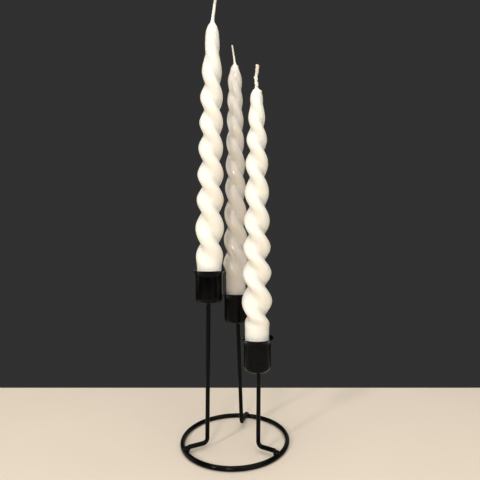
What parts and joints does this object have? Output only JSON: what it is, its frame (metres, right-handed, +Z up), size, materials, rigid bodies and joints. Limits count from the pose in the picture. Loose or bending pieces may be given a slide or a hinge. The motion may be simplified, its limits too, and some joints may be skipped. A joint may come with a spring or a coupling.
{
  "type": "candle holder",
  "caption": "Black wire candle holder with flared cups at stepped heights above a base ring, carrying two-strand twisted taper candles with cotton wicks.",
  "frame": {"origin": "centre of the base ring, on the surface that the ring stands on", "axes": "+Z up along the stems; -Y towards the lowest cup's side, from which the cups read tall, middle, low from left to right"},
  "size_m": [0.1, 0.1, 0.4049],
  "materials": {
    "black_paint": "satin",
    "ivory_wax": "satin",
    "greige_wax": "satin",
    "wick_cotton": "matte"
  },
  "bodies": {
    "holder": {"base_ring": "black_paint", "ring_butt_weld": "black_paint", "tall_stem": "black_paint", "tall_cup": "black_paint", "tall_ring_weld": "black_paint", "tall_cup_weld": "black_paint", "middle_stem": "black_paint", "middle_cup": "black_paint", "middle_ring_weld": "black_paint", "middle_cup_weld": "black_paint", "low_stem": "black_paint", "low_cup": "black_paint", "low_ring_weld": "black_paint", "low_cup_weld": "black_paint"},
    "tall_candle": {"tall_candle_wax": "ivory_wax", "tall_candle_wick": "wick_cotton"},
    "middle_candle": {"middle_candle_wax": "greige_wax", "middle_candle_wick": "wick_cotton"},
    "low_candle": {"low_candle_wax": "ivory_wax", "low_candle_wick": "wick_cotton"}
  },
  "joints": [
    {"name": "tall_candle_lift", "type": "slide", "parent": "holder", "child": "tall_candle", "axis": [0.0131, 0, 0.9999], "range_m": [0, 0.04]},
    {"name": "middle_candle_lift", "type": "slide", "parent": "holder", "child": "middle_candle", "axis": [-0.0052, 0, 1], "range_m": [0, 0.04]},
    {"name": "low_candle_lift", "type": "slide", "parent": "holder", "child": "low_candle", "axis": [-0.0017, 0, 1], "range_m": [0, 0.04]}
  ]
}
